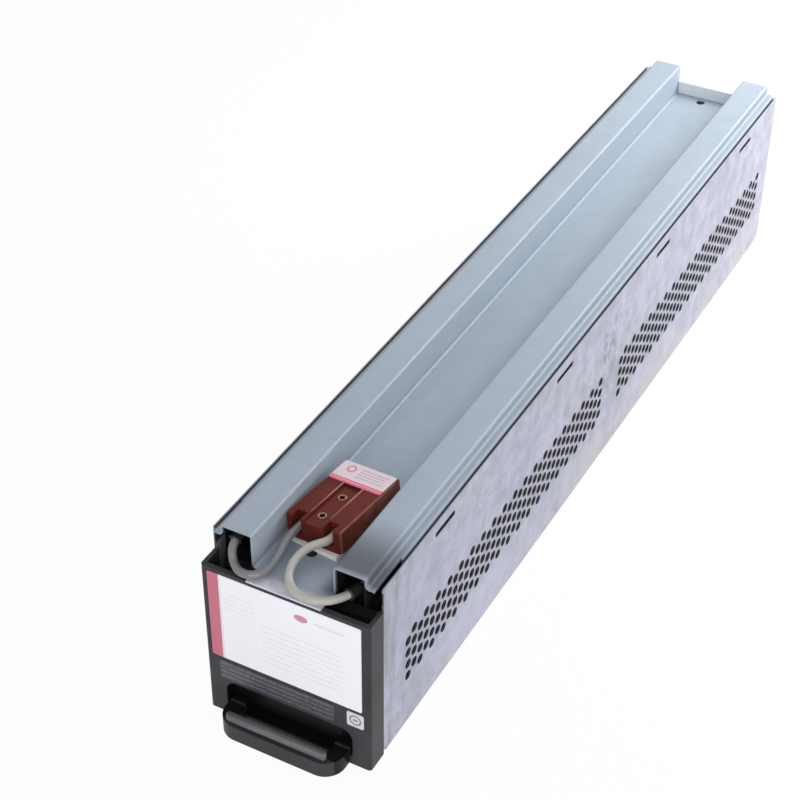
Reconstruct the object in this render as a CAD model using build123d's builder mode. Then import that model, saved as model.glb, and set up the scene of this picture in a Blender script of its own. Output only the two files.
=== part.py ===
from build123d import *
import math
import os

os.makedirs("parts", exist_ok=True)

# A battery module for a rack power supply: a perforated tray with a row of sealed blocks, a cover with two
# raised rails, a moulded front with a pull handle, and a two-pole connector that lies between the rails.
# Millimetres. X runs across, Y from the front to the back and Z up. The origin is on the ground, in the
# middle of the width and of the length with the handle.

# Sheet metal and fits
sheet = 1.0
cover_bend_inside = 0.6
tray_bend_inside = 1.0
fit = 0.2

# Front bezel and its pull handle
bezel_depth = 14.0
bezel_face_wall = 3.0
bezel_wall = 2.5
bezel_edge = 2.0
pocket_width = 78.0
pocket_height = 22.0
pocket_depth = 7.0
pocket_corner = 7.0
handle_side_gap = 2.0
handle_reach = 16.5
handle_bar = 5.0
handle_arm = 9.0
handle_corner = 12.0
grip_corner = 7.0
handle_bottom = 0.4
apron_height = 10.1
groove_height = 2.0
ridge_height = 4.5
groove_inset = 2.2
ridge_inset = 1.4
ridge_round = 1.4
ridge_length = 64.0
ridge_end = 1.6
boss_diameter = 8.0
boss_inset = 9.0
boss_clear = 5.0
boss_drop = 8.0

# Tray
relief_gap = 1.0
side_gap = 1.0
front_wall_height = 86.0
back_wall_gap = 1.0
hole_diameter = 6.2
column_pitch = 6.775
row_pitch = 8.4
hole_rows = 4
band_low_z = 36.0
band_front_margin = 26.4
band_back_margin = 21.3
band_gap = 32.4
window_length = 22.0
window_height = 3.2
window_corner = 1.0
window_count = 4
window_front = 66.5
window_back = 62.0
ledge_gap = 2.0
ledge_reach = 3.4

# Top cover
channel_depth = 21.0
rail_step = 6.0
skirt_height = 6.0
rail_width = 18.9
rail_offset = 1.85
skirt_gap = 1.2
skirt_setback = 38.0
bare_flange_inset = 1.0
rail_setback = 10.0
tongue_inset = 1.7
tongue_overhang = 0.4
lip_height = 9.0
lip_gap = 0.3
floor_hole = 6.0
floor_hole_x = -3.2
front_hole_y = 33.5
back_hole_inset = 7.5

# Battery blocks, their blade terminals and links
block_width = 90.0
block_depth = 70.0
block_height = 101.0
block_gap = 0.4
block_count = 8
block_corner = 3.0
lid_height = 6.0
lid_step = 0.6
terminal_inset = 10.0
tab_thickness = 0.8
tab_width = 6.35
tab_height = 6.35
tab_fit = 0.05
receptacle_thickness = 3.0
receptacle_wall = 0.625
receptacle_roof = 1.05
barrel_diameter = 5.6
barrel_length = 7.0
barrel_lift = 1.85
jumper_diameter = 4.6

# Liners and foam
liner_thickness = 1.0
front_foam_thickness = 6.0
front_foam_drop = 8.0
back_foam_thickness = 10.7
back_foam_drop = 15.0
strip_thickness = 4.0
low_strip_rise = 6.0
low_strip_height = 20.0
high_strip_drop = 7.0
high_strip_height = 24.0
top_pad_thickness = 1.0
top_pad_inset = 2.7
insulator_thickness = 0.6
insulator_bend_inside = 0.6
insulator_setback = 1.0
foam_hole_clearance = 1.0

# Connector
connector_yaw = 6.5
connector_roll = 5.0
connector_x = -4.4
connector_y = 38.0
connector_lift = 0.2
connector_length = 54.0
connector_flare = 1.5
housing_side_wall = 2.4
housing_roof = 2.25
pole_spacing = 20.5
wire_trough_length = 6.5
wire_trough_clearance = 0.8
bore_diameter = 7.6
bore_length = 13.5
chamber_width = 9.2
chamber_height = 9.5
contact_clearance = 0.3
blade_clearance = 0.4
blade_thickness = 2.5
blade_setback = 7.5
spring_width = 5.0
spring_thickness = 0.5
spring_length = 20.0
spring_start = 3.0
centre_strip_width = 11.0
centre_strip_depth = 1.2
centre_hole = 4.2
first_centre_hole = 9.0
second_centre_hole = 26.5
connector_edge = 0.8
connector_corner = 3.0
pad_width = 32.0
pad_length = 48.0
pad_overhang = 2.2

# Leads and stickers
lead_diameter = 4.6
lead_straight = 6.0
lead_bend_share = 0.45
rail_run_front_gap = 47.0
rail_run_back_gap = 54.5
rail_run_points = 8
rail_run_drop = 6.0
rail_sway = 0.8
rail_sag = 0.3
sticker = 0.3
sticker_corner = 1.0
label_left_inset = 4.0
label_right_inset = 5.0
label_top_inset = 2.4
label_gap = 2.5
print_left_inset = 8.0
print_width = 71.0
print_height = 13.5
print_rise = 1.5
check_right_inset = 4.0
check_size = 10.0
check_gap = 2.3
seal_inset = 0.5
seal_start = 36.5

# Bezel screws
screw_diameter = 3.5
screw_length = 8.0
screw_head = 7.0
screw_head_height = 2.2
screw_hole_clearance = 0.5

# Places that follow from the sizes
block_bottom = sheet + liner_thickness
block_top = block_bottom + block_height
block_pitch = block_depth + block_gap
row_length = block_count * block_depth + (block_count - 1) * block_gap
width = block_width + 2 * (strip_thickness + sheet)
length = bezel_depth + 2 * sheet + front_foam_thickness + row_length + back_foam_thickness
half_width = width / 2
inner_half = half_width - sheet
face_y = -(length - handle_reach) / 2
back_y = face_y + length
tray_front_y = face_y + bezel_depth
tray_middle_y = (tray_front_y + back_y) / 2
tray_length = back_y - tray_front_y
tray_bend = sheet + tray_bend_inside
bend_relief = tray_bend + relief_gap
row_front_y = tray_front_y + sheet + front_foam_thickness
row_back_y = row_front_y + row_length
row_middle_y = row_front_y + row_length / 2
floor_height = block_top + top_pad_thickness + sheet
rail_height = floor_height + channel_depth
flange_height = rail_height - rail_step
ledge_height = flange_height - skirt_height
side_height = flange_height - side_gap
back_wall_height = floor_height - sheet - back_wall_gap
bezel_height = floor_height - sheet
pocket_top = bezel_wall + pocket_height
boss_x = half_width - boss_inset
boss_low_z = pocket_top + bezel_wall + boss_clear + boss_diameter / 2
boss_high_z = front_wall_height - boss_drop
cover_bend = sheet + cover_bend_inside
terminal_x = block_width / 2 - terminal_inset
rail_middle = terminal_x - rail_offset
channel_half = rail_middle - rail_width / 2
rail_outer = rail_middle + rail_width / 2
rail_front_y = face_y + rail_setback
skirt_x = inner_half - skirt_gap
receptacle_width = tab_width + 2 * receptacle_wall
receptacle_height = tab_height + receptacle_roof
barrel_z = block_top + barrel_lift + barrel_diameter / 2
pole_x = pole_spacing / 2
connector_height = chamber_height + 2 * housing_roof
connector_far_width = pole_spacing + chamber_width + 2 * housing_side_wall
connector_near_width = connector_far_width + connector_flare
pole_z = connector_height / 2
yaw_cos = math.cos(math.radians(connector_yaw))
yaw_sin = math.sin(math.radians(connector_yaw))
roll_cos = math.cos(math.radians(connector_roll))
roll_sin = math.sin(math.radians(connector_roll))
connector_bottom = floor_height + connector_lift + connector_near_width / 2 * roll_sin
connector_plane = Plane(
    origin=(connector_x, face_y + connector_y, connector_bottom),
    x_dir=(yaw_cos * roll_cos, -yaw_sin * roll_cos, roll_sin),
    z_dir=(-yaw_cos * roll_sin, yaw_sin * roll_sin, roll_cos),
)


def section_plane(y):
    """Upright plane across the module at this distance along Y; it extrudes towards the front."""
    return Plane.XZ.offset(-y)


def corner_radii(points):
    """Largest bend that each corner of a lead leaves room for."""
    radii = []
    for before, corner, after in zip(points, points[1:], points[2:]):
        arrive = Vector(*corner) - Vector(*before)
        leave = Vector(*after) - Vector(*corner)
        half_turn = math.radians(arrive.get_angle(leave)) / 2
        radii.append(lead_bend_share * min(arrive.length, leave.length) / math.tan(half_turn))
    return radii


def finish(piece, name):
    """Labels a finished piece and writes it."""
    piece.part.label = name
    export_step(piece.part, f"parts/{name}.step")


# Tray: a bent sheet with perforated sides, lanced ledges for the cover, and end walls
band_room = (tray_length - band_front_margin - band_back_margin - band_gap) / 2
columns_per_set = math.floor(band_room / column_pitch + 1) // 2
band_length = (2 * columns_per_set - 1) * column_pitch
band_middle_z = band_low_z + (hole_rows - 1) * row_pitch / 2 + row_pitch / 4
band_middles = [
    tray_front_y + band_front_margin + band_length / 2,
    back_y - band_back_margin - band_length / 2,
]
window_pitch = (tray_length - window_front - window_back) / (window_count - 1)
window_ys = [tray_front_y + window_front + window_pitch * step for step in range(window_count)]
boss_places = [(x, z) for x in (-boss_x, boss_x) for z in (boss_low_z, boss_high_z)]

with BuildPart() as tray:
    with BuildSketch(section_plane(back_y - bend_relief)):
        with BuildLine():
            FilletPolyline(
                (-half_width, side_height),
                (-half_width, 0),
                (half_width, 0),
                (half_width, side_height),
                radius=tray_bend,
            )
            offset(amount=sheet, side=Side.LEFT)
        make_face()
    extrude(amount=tray_length - 2 * bend_relief)
    with BuildSketch(Plane.YZ):
        with BuildLine():
            FilletPolyline(
                (tray_front_y, front_wall_height),
                (tray_front_y, 0),
                (back_y, 0),
                (back_y, back_wall_height),
                radius=tray_bend,
            )
            offset(amount=sheet, side=Side.LEFT)
        make_face()
    extrude(amount=half_width - bend_relief, both=True)
    with BuildSketch(Plane.XY.offset(bend_relief)):
        with Locations((half_width - sheet / 2, tray_middle_y), (-half_width + sheet / 2, tray_middle_y)):
            Rectangle(sheet, tray_length)
    extrude(amount=side_height - bend_relief)
    with BuildSketch(Plane.YZ):
        for middle in band_middles:
            for shift in (-1, 1):
                with Locations((middle + shift * column_pitch / 2, band_middle_z + shift * row_pitch / 4)):
                    with GridLocations(2 * column_pitch, row_pitch, columns_per_set, hole_rows):
                        Circle(hole_diameter / 2)
        with Locations(*[(y, ledge_height - sheet - window_height / 2) for y in window_ys]):
            RectangleRounded(window_length, window_height, window_corner)
    extrude(amount=half_width, both=True, mode=Mode.SUBTRACT)
    with BuildSketch(Plane.XY.offset(ledge_height)):
        for side in (-1, 1):
            with Locations(*[(side * (half_width - (ledge_reach + sheet) / 2), y) for y in window_ys]):
                Rectangle(ledge_reach + sheet, window_length - 2 * ledge_gap)
    extrude(amount=-sheet)
    with BuildSketch(section_plane(tray_front_y + sheet)):
        with Locations(*boss_places):
            Circle(screw_diameter / 2 + screw_hole_clearance)
    extrude(amount=sheet, mode=Mode.SUBTRACT)
finish(tray, "tray")

# Cover: one bent sheet with skirts that stand on the tray's ledges, two rails and a channel
cover_half = [
    (skirt_x, ledge_height),
    (skirt_x, flange_height),
    (rail_outer, flange_height),
    (rail_outer, rail_height),
    (channel_half, rail_height),
    (channel_half, floor_height),
]
cover_section = cover_half + [(-x, z) for x, z in reversed(cover_half)]
rail_inside = rail_width - 2 * sheet

with BuildPart() as top_cover:
    with BuildSketch(section_plane(back_y)):
        with BuildLine():
            FilletPolyline(*cover_section, radius=cover_bend)
            offset(amount=sheet, side=Side.LEFT)
        make_face()
    extrude(amount=back_y - rail_front_y)
    # skirt and flange edge cut away at the front
    with BuildSketch(Plane.XY.offset(ledge_height)):
        for side in (-1, 1):
            with Locations((side * half_width, face_y)):
                Rectangle(2 * (half_width - skirt_x + bare_flange_inset), 2 * skirt_setback)
    extrude(amount=rail_height - ledge_height, mode=Mode.SUBTRACT)
    # tongue over the bezel's front wall
    with BuildSketch(Plane.XY.offset(floor_height)):
        with Locations((0, face_y - tongue_overhang)):
            Rectangle(
                2 * (channel_half - tongue_inset),
                rail_setback + tongue_overhang + cover_bend,
                align=(Align.CENTER, Align.MIN),
            )
    extrude(amount=-sheet)
    # lip at the back of the channel and end tabs that close the rails
    with BuildSketch(section_plane(back_y)):
        with Locations((0, floor_height - sheet)):
            Rectangle(2 * (channel_half - lip_gap), lip_height + sheet, align=(Align.CENTER, Align.MIN))
        for side in (-1, 1):
            with Locations((side * rail_middle, rail_height)):
                Rectangle(rail_inside - 2 * fit, rail_height - floor_height, align=(Align.CENTER, Align.MAX))
    extrude(amount=sheet)
    with BuildSketch(Plane.XY.offset(floor_height)):
        with Locations((floor_hole_x, face_y + front_hole_y), (floor_hole_x, back_y - back_hole_inset)):
            Circle(floor_hole / 2)
    extrude(amount=-sheet, mode=Mode.SUBTRACT)
finish(top_cover, "top_cover")

# Pull handle, moulded with the bezel: a loop round one finger opening, with a grip ridge on its front
apron_top = handle_bottom + apron_height
groove_top = apron_top + groove_height
handle_width = pocket_width - 2 * handle_side_gap
handle_front_y = face_y - handle_reach
grip_front_y = handle_front_y + handle_bar
grip_depth = face_y + pocket_depth - grip_front_y

with BuildPart() as pull_handle:
    with BuildSketch(Plane.XY.offset(handle_bottom)) as loop:
        with Locations((0, face_y + pocket_depth)):
            Rectangle(handle_width, handle_reach + pocket_depth, align=(Align.CENTER, Align.MAX))
        fillet(loop.vertices().group_by(Axis.Y)[0], radius=handle_corner)
        with Locations((0, grip_front_y)):
            RectangleRounded(
                handle_width - 2 * handle_arm,
                grip_depth + grip_corner,
                grip_corner,
                align=(Align.CENTER, Align.MIN),
                mode=Mode.SUBTRACT,
            )
    extrude(amount=apron_height)
    # the ridge stands on a narrower foot along the straight front of the loop
    for low, height, inset in (
        (apron_top, groove_height, groove_inset),
        (groove_top, ridge_height, ridge_inset),
    ):
        with BuildSketch(Plane.XY.offset(low)):
            with Locations((0, grip_front_y)):
                RectangleRounded(
                    ridge_length - 2 * inset,
                    handle_bar - inset,
                    min(ridge_end, (handle_bar - inset) / 2 - fit),
                    align=(Align.CENTER, Align.MAX),
                )
        extrude(amount=height)
    fillet(pull_handle.faces().sort_by(Axis.Z)[-1].edges(), radius=ridge_round)

# Bezel: an open cap with a finger pocket, the handle and four screw bosses
with BuildPart() as front_bezel:
    with BuildSketch(Plane.XY) as bezel_plan:
        with Locations((0, face_y)):
            Rectangle(width, bezel_depth, align=(Align.CENTER, Align.MIN))
        fillet(bezel_plan.vertices().group_by(Axis.Y)[0], radius=bezel_edge)
    extrude(amount=bezel_height)
    with BuildSketch(Plane.XY.offset(bezel_wall)):
        with Locations((0, tray_front_y)):
            Rectangle(
                width - 2 * bezel_wall,
                bezel_depth - bezel_face_wall,
                align=(Align.CENTER, Align.MAX),
            )
    extrude(amount=bezel_height, mode=Mode.SUBTRACT)
    # walls of the finger pocket, then the pocket itself
    pocket_middle_z = bezel_wall + pocket_height / 2
    with BuildSketch(section_plane(face_y + bezel_face_wall)):
        with Locations((0, pocket_middle_z)):
            RectangleRounded(
                pocket_width + 2 * bezel_wall,
                pocket_height + 2 * bezel_wall,
                pocket_corner + bezel_wall,
            )
    extrude(amount=-(pocket_depth + bezel_wall - bezel_face_wall))
    with BuildSketch(section_plane(face_y)):
        with Locations((0, pocket_middle_z)):
            RectangleRounded(pocket_width, pocket_height, pocket_corner)
    extrude(amount=-pocket_depth, mode=Mode.SUBTRACT)
    add(pull_handle.part)
    with BuildSketch(section_plane(tray_front_y)):
        with Locations(*boss_places):
            Circle(boss_diameter / 2)
    extrude(amount=bezel_depth - bezel_face_wall)
    with BuildSketch(section_plane(tray_front_y)):
        with Locations(*boss_places):
            Circle(screw_diameter / 2 + fit / 2)
    extrude(amount=screw_length, mode=Mode.SUBTRACT)
finish(front_bezel, "front_bezel")

with BuildPart() as bezel_screws:
    with BuildSketch(section_plane(tray_front_y + sheet)):
        with Locations(*boss_places):
            Circle(screw_diameter / 2)
    extrude(amount=screw_length)
    with BuildSketch(section_plane(tray_front_y + sheet)):
        with Locations(*boss_places):
            Circle(screw_head / 2)
    extrude(amount=-screw_head_height)
finish(bezel_screws, "bezel_screws")

# Battery blocks: a sealed case and a lid a little smaller
block_middles = [row_front_y + block_depth / 2 + block_pitch * step for step in range(block_count)]

for number, middle in enumerate(block_middles, start=1):
    with BuildPart() as battery:
        with BuildSketch(Plane.XY.offset(block_bottom)):
            with Locations((0, middle)):
                RectangleRounded(block_width, block_depth, block_corner)
        extrude(amount=block_height - lid_height)
        with BuildSketch(Plane.XY.offset(block_top - lid_height)):
            with Locations((0, middle)):
                RectangleRounded(block_width - 2 * lid_step, block_depth - 2 * lid_step, block_corner)
        extrude(amount=lid_height)
    finish(battery, f"battery_{number}")

tab_places = [(side * terminal_x, y) for side in (-1, 1) for y in block_middles]

with BuildPart() as battery_tabs:
    with BuildSketch(Plane.XY.offset(block_top)):
        with Locations(*tab_places):
            Rectangle(tab_thickness, tab_width)
    extrude(amount=tab_height)
finish(battery_tabs, "battery_tabs")

# Push-on receptacles: the two of each link face each other, the first and the last face the leads
barrel_ways = [way for first in (1, -1) for way in [first, -first] * (block_count // 2)]
front_barrels = [(x, y) for (x, y), way in zip(tab_places, barrel_ways) if way < 0]
rear_barrels = [(x, y) for (x, y), way in zip(tab_places, barrel_ways) if way > 0]
barrel_reach = receptacle_width / 2 + barrel_length

with BuildPart() as tab_receptacles:
    with BuildSketch(Plane.XY.offset(block_top + tab_fit)):
        with Locations(*tab_places):
            Rectangle(receptacle_thickness, receptacle_width)
    extrude(amount=receptacle_height)
    for places, way in ((front_barrels, -1), (rear_barrels, 1)):
        for x, y in places:
            with BuildSketch(section_plane(y + way * barrel_reach)):
                with Locations((x, barrel_z)):
                    Circle(barrel_diameter / 2)
            extrude(amount=way * barrel_length)
    with BuildSketch(Plane.XY.offset(block_top)):
        with Locations(*tab_places):
            Rectangle(tab_thickness + 2 * tab_fit, tab_width + 2 * tab_fit)
    extrude(amount=tab_height + tab_fit, mode=Mode.SUBTRACT)
finish(tab_receptacles, "tab_receptacles")

# Series links: odd ones on the left, even ones on the right
for number in range(1, block_count):
    link_x = -terminal_x if number % 2 else terminal_x
    link_start = block_middles[number - 1] + barrel_reach
    link_end = block_middles[number] - barrel_reach
    with BuildPart() as jumper:
        with BuildSketch(section_plane(link_end)):
            with Locations((link_x, barrel_z)):
                Circle(jumper_diameter / 2)
        extrude(amount=link_end - link_start)
    finish(jumper, f"jumper_{number}")

# Liners and foam
with BuildPart() as base_liner:
    with BuildSketch(Plane.XY.offset(sheet)):
        with Locations((0, tray_middle_y)):
            Rectangle(block_width, tray_length - 2 * (sheet + tray_bend))
    extrude(amount=liner_thickness)
finish(base_liner, "base_liner")

with BuildPart() as top_pad:
    with BuildSketch(Plane.XY.offset(block_top)):
        with Locations((0, row_middle_y)):
            Rectangle(2 * (channel_half - top_pad_inset), row_length)
    extrude(amount=top_pad_thickness)
finish(top_pad, "top_pad")

for level, strip_z, strip_height in (
    ("low", block_bottom + low_strip_rise, low_strip_height),
    ("high", block_top - high_strip_drop - high_strip_height, high_strip_height),
):
    for hand, side in (("left", -1), ("right", 1)):
        with BuildPart() as strip:
            with BuildSketch(Plane.XY.offset(strip_z)):
                with Locations((side * (block_width + strip_thickness) / 2, row_middle_y)):
                    Rectangle(strip_thickness, row_length)
            extrude(amount=strip_height)
        finish(strip, f"side_foam_{level}_{hand}")

with BuildPart() as front_foam:
    with BuildSketch(section_plane(row_front_y)):
        with Locations((0, block_bottom)):
            Rectangle(block_width, block_height - front_foam_drop, align=(Align.CENTER, Align.MIN))
        with Locations(*boss_places):
            Circle(screw_head / 2 + foam_hole_clearance, mode=Mode.SUBTRACT)
    extrude(amount=front_foam_thickness)
finish(front_foam, "front_foam")

with BuildPart() as back_foam:
    with BuildSketch(section_plane(back_y - sheet)):
        with Locations((0, block_bottom)):
            Rectangle(block_width, block_height - back_foam_drop, align=(Align.CENTER, Align.MIN))
    extrude(amount=back_foam_thickness)
finish(back_foam, "back_foam")

# Black sheets that line the rails above the terminals
for hand, side in (("left", -1), ("right", 1)):
    near_x = side * (channel_half + sheet + fit)
    far_x = side * (rail_outer - sheet - fit)
    lining_top = rail_height - sheet - fit
    with BuildPart() as insulator:
        with BuildSketch(section_plane(row_back_y)):
            with BuildLine():
                FilletPolyline(
                    (near_x, block_top),
                    (near_x, lining_top),
                    (far_x, lining_top),
                    (far_x, block_top),
                    radius=insulator_thickness + insulator_bend_inside,
                )
                offset(amount=insulator_thickness, side=Side.RIGHT if side > 0 else Side.LEFT)
            make_face()
        extrude(amount=row_back_y - rail_front_y - insulator_setback)
    finish(insulator, f"rail_insulator_{hand}")

# Connector: a tapered housing with two chambers, open at the far end for the mating half
chamber_start = wire_trough_length + bore_length
trough_width = lead_diameter + 2 * wire_trough_clearance
taper = [
    (-connector_near_width / 2, 0),
    (connector_near_width / 2, 0),
    (connector_far_width / 2, connector_length),
    (-connector_far_width / 2, connector_length),
]

with BuildPart() as connector_housing:
    with BuildSketch(connector_plane) as connector_outline:
        Polygon(*taper, align=None)
        fillet(connector_outline.vertices().group_by(Axis.Y)[0], radius=connector_corner)
    extrude(amount=connector_height)
    chamfer(connector_housing.faces().sort_by(Axis.Z)[-1].edges(), length=connector_edge)
    # lower strip along the middle, with two holes through it
    with BuildSketch(connector_plane.offset(connector_height)):
        Rectangle(centre_strip_width, seal_start, align=(Align.CENTER, Align.MIN))
    extrude(amount=-centre_strip_depth, mode=Mode.SUBTRACT)
    with BuildSketch(connector_plane):
        with Locations((0, first_centre_hole), (0, second_centre_hole)):
            Circle(centre_hole / 2)
    extrude(amount=connector_height, mode=Mode.SUBTRACT)
    # open troughs where the leads come out
    with BuildSketch(connector_plane.offset(pole_z - lead_diameter / 2 - fit)):
        with Locations((-pole_x, 0), (pole_x, 0)):
            Rectangle(trough_width, wire_trough_length, align=(Align.CENTER, Align.MIN))
    extrude(amount=connector_height, mode=Mode.SUBTRACT)
    # round bores for the crimped ends, then the chambers
    for pole in (-pole_x, pole_x):
        bore_plane = Plane(
            origin=connector_plane.from_local_coords((pole, wire_trough_length, pole_z)),
            x_dir=connector_plane.x_dir,
            z_dir=connector_plane.y_dir,
        )
        with BuildSketch(bore_plane):
            Circle(bore_diameter / 2)
        extrude(amount=bore_length, mode=Mode.SUBTRACT)
        with BuildSketch(bore_plane.offset(bore_length)):
            Rectangle(chamber_width, chamber_height)
        extrude(amount=connector_length, mode=Mode.SUBTRACT)
finish(connector_housing, "connector_housing")

for hand, pole in (("left", -pole_x), ("right", pole_x)):
    pole_plane = Plane(
        origin=connector_plane.from_local_coords((pole, wire_trough_length, pole_z)),
        x_dir=connector_plane.x_dir,
        z_dir=connector_plane.y_dir,
    )
    blade_length = connector_length - chamber_start - blade_setback
    with BuildPart() as contact:
        with BuildSketch(pole_plane):
            Circle(bore_diameter / 2 - contact_clearance)
        extrude(amount=bore_length)
        with BuildSketch(pole_plane.offset(bore_length)):
            Rectangle(chamber_width - 2 * blade_clearance, blade_thickness)
        extrude(amount=blade_length)
    finish(contact, f"contact_{hand}")
    # leaf spring: bears on the chamber's floor at both ends and on the blade in its middle
    spring_plane = Plane(
        origin=connector_plane.from_local_coords((pole, chamber_start + spring_start, 0)),
        x_dir=connector_plane.y_dir,
        z_dir=connector_plane.x_dir,
    )
    spring_low = pole_z - chamber_height / 2
    spring_high = pole_z - blade_thickness / 2 - spring_thickness
    with BuildPart() as spring:
        with BuildSketch(spring_plane):
            with BuildLine():
                ThreePointArc(
                    (0, spring_low),
                    (spring_length / 2, spring_high),
                    (spring_length, spring_low),
                )
                offset(amount=spring_thickness, side=Side.LEFT)
            make_face()
        extrude(amount=spring_width / 2, both=True)
    finish(spring, f"contact_spring_{hand}")

with BuildPart() as connector_pad:
    pad_plane = Plane(
        origin=(
            connector_x - pad_overhang * yaw_sin,
            face_y + connector_y - pad_overhang * yaw_cos,
            floor_height,
        ),
        x_dir=(yaw_cos, -yaw_sin, 0),
        z_dir=(-yaw_sin, -yaw_cos, 0),
    )
    pad_rise = connector_bottom - floor_height
    pad_slope = pad_width / 2 * roll_sin / roll_cos
    with BuildSketch(pad_plane):
        Polygon(
            (-pad_width / 2, 0),
            (pad_width / 2, 0),
            (pad_width / 2, pad_rise + pad_slope),
            (-pad_width / 2, pad_rise - pad_slope),
            align=None,
        )
    extrude(amount=-pad_length)
finish(connector_pad, "connector_pad")

# Stickers
with BuildPart() as connector_label:
    with BuildSketch(connector_plane.offset(connector_height)):
        with Locations((0, (seal_start + connector_length - connector_edge) / 2)):
            RectangleRounded(
                connector_far_width - 2 * seal_inset,
                connector_length - connector_edge - seal_start,
                sticker_corner,
            )
    extrude(amount=sticker)
finish(connector_label, "connector_label")

print_left = print_left_inset - half_width
print_bottom = pocket_top + print_rise
print_top = print_bottom + print_height
label_left = label_left_inset - half_width
label_right = half_width - label_right_inset
label_bottom = print_top + label_gap
label_top = bezel_height - label_top_inset
check_right = half_width - check_right_inset
check_top = label_bottom - check_gap
for name, left, right, bottom, top in (
    ("front_label", label_left, label_right, label_bottom, label_top),
    ("print_label", print_left, print_left + print_width, print_bottom, print_top),
    ("check_sticker", check_right - check_size, check_right, check_top - check_size, check_top),
):
    with BuildPart() as face_sticker:
        with BuildSketch(section_plane(face_y)):
            with Locations(((left + right) / 2, (bottom + top) / 2)):
                RectangleRounded(right - left, top - bottom, sticker_corner)
        extrude(amount=sticker)
    finish(face_sticker, name)

# Leads: places chosen along their routes. Z is counted from the cover's floor, Y from the bezel's face or
# from the back, and X of the hidden stretch from the middle of a rail. Each lead starts at its contact in
# the connector, runs straight out of its trough, and ends at a receptacle on a block's terminal.
light_front = [
    (-2.4, 28.4, 8.6),
    (-4.8, 18.0, 6.2),
    (-2.2, 8.2, 4.0),
    (5.0, 1.8, 3.3),
    (14.6, 0.0, 3.2),
    (24.2, 3.4, 3.5),
    (30.8, 11.0, 4.0),
    (34.0, 21.0, 4.0),
    (34.8, 31.0, 3.2),
]
black_front = [
    (-15.4, 28.0, 7.4),
    (-13.8, 18.6, 6.0),
    (-13.6, 9.6, 4.2),
    (-16.8, 3.4, 3.2),
    (-22.4, 0.8, 3.0),
    (-28.2, 2.0, 2.6),
    (-32.6, 5.2, 4.2),
    (-35.0, 8.0, 8.0),
    (-35.6, 12.0, 11.6),
    (-35.4, 18.4, 13.6),
    (-34.8, 28.0, 14.6),
]
black_back = [
    (-1, -1.05, -33.5, 12.6),
    (-1, -0.45, -18.5, 8.0),
    (-1, 1.55, -7.1, 0.4),
    (-1, 9.15, -6.2, -6.4),
    (0, -10.0, -6.5, -9.4),
    (0, 8.0, -6.2, -9.6),
    (1, -11.15, -6.5, -7.4),
    (1, -1.75, -6.6, -0.8),
    (1, 1.25, -14.3, 4.0),
    (1, 1.65, -24.5, 4.0),
]
rail_run_start = face_y + rail_run_front_gap
rail_run_end = back_y - rail_run_back_gap

light_route = [(x, face_y + y, floor_height + z) for x, y, z in light_front]
black_route = [(x, face_y + y, floor_height + z) for x, y, z in black_front]
for step in range(rail_run_points):
    way = 1 if step % 2 else -1
    black_route.append(
        (
            -rail_middle - rail_sway + way * rail_sway,
            rail_run_start + (rail_run_end - rail_run_start) * step / (rail_run_points - 1),
            rail_height - rail_run_drop + way * rail_sag,
        )
    )
black_route += [(side * rail_middle + x, back_y + y, floor_height + z) for side, x, y, z in black_back]

for name, route, pole, end_y, way in (
    ("lead_light", light_route, pole_x, block_middles[0] - barrel_reach, -1),
    ("lead_black", black_route, -pole_x, block_middles[-1] + barrel_reach, 1),
):
    trough_points = [(pole, wire_trough_length, pole_z), (pole, 0, pole_z)]
    points = [tuple(connector_plane.from_local_coords(point)) for point in trough_points]
    points += route
    points += [(terminal_x, end_y + way * lead_straight, barrel_z), (terminal_x, end_y, barrel_z)]
    radii = corner_radii(points)
    with BuildPart() as lead:
        with BuildLine() as lead_line:
            FilletPolyline(*points, radius=radii)
        with BuildSketch(Plane(origin=lead_line.wire() @ 0, z_dir=lead_line.wire() % 0)):
            Circle(lead_diameter / 2)
        sweep(path=lead_line.wire())
    finish(lead, name)
    lead_length = lead_line.wire().length
    section = math.pi * lead_diameter**2 / 4
    volume_share = lead.part.volume / lead_length / section
    print(name, "length", round(lead_length, 1), "volume share", round(volume_share, 4))
    print("  bend radii", [round(radius, 1) for radius in radii])
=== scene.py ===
import math

import bpy
from mathutils import Matrix, Vector


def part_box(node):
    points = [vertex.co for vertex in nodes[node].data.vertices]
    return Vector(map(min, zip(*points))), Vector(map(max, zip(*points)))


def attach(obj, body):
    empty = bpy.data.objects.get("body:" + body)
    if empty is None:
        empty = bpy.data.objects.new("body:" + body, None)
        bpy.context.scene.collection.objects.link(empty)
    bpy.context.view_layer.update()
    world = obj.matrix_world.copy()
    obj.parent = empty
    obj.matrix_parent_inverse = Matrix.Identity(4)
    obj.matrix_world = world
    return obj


# Looks of a rack battery module: galvanised tray and cover, moulded front, connector, leads and stickers.
# Metres, in the frame of the solids: X across, Y from the front to the back, Z up.

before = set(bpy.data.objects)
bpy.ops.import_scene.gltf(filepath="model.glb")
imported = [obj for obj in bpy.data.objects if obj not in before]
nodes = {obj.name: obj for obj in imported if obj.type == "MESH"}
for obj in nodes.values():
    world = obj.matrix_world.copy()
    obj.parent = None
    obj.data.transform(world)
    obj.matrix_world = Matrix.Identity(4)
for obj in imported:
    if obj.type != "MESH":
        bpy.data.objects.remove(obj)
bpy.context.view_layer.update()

# Tray and front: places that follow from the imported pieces
tray_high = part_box("tray")[1]
half_width = tray_high.x
back_y = tray_high.y
side_top = tray_high.z
face_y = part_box("front_label")[1].y

# Cover: a channel between two rails, flanges beside them and skirts under their edges
cover_low, cover_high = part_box("top_cover")
sheet = 0.001
rail_step = 0.006
channel_half = 0.0237
rail_outer = 0.0426
skirt_x = cover_high.x
rail_top = cover_high.z
flange_top = rail_top - rail_step
floor_top = cover_low.z + sheet

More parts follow.
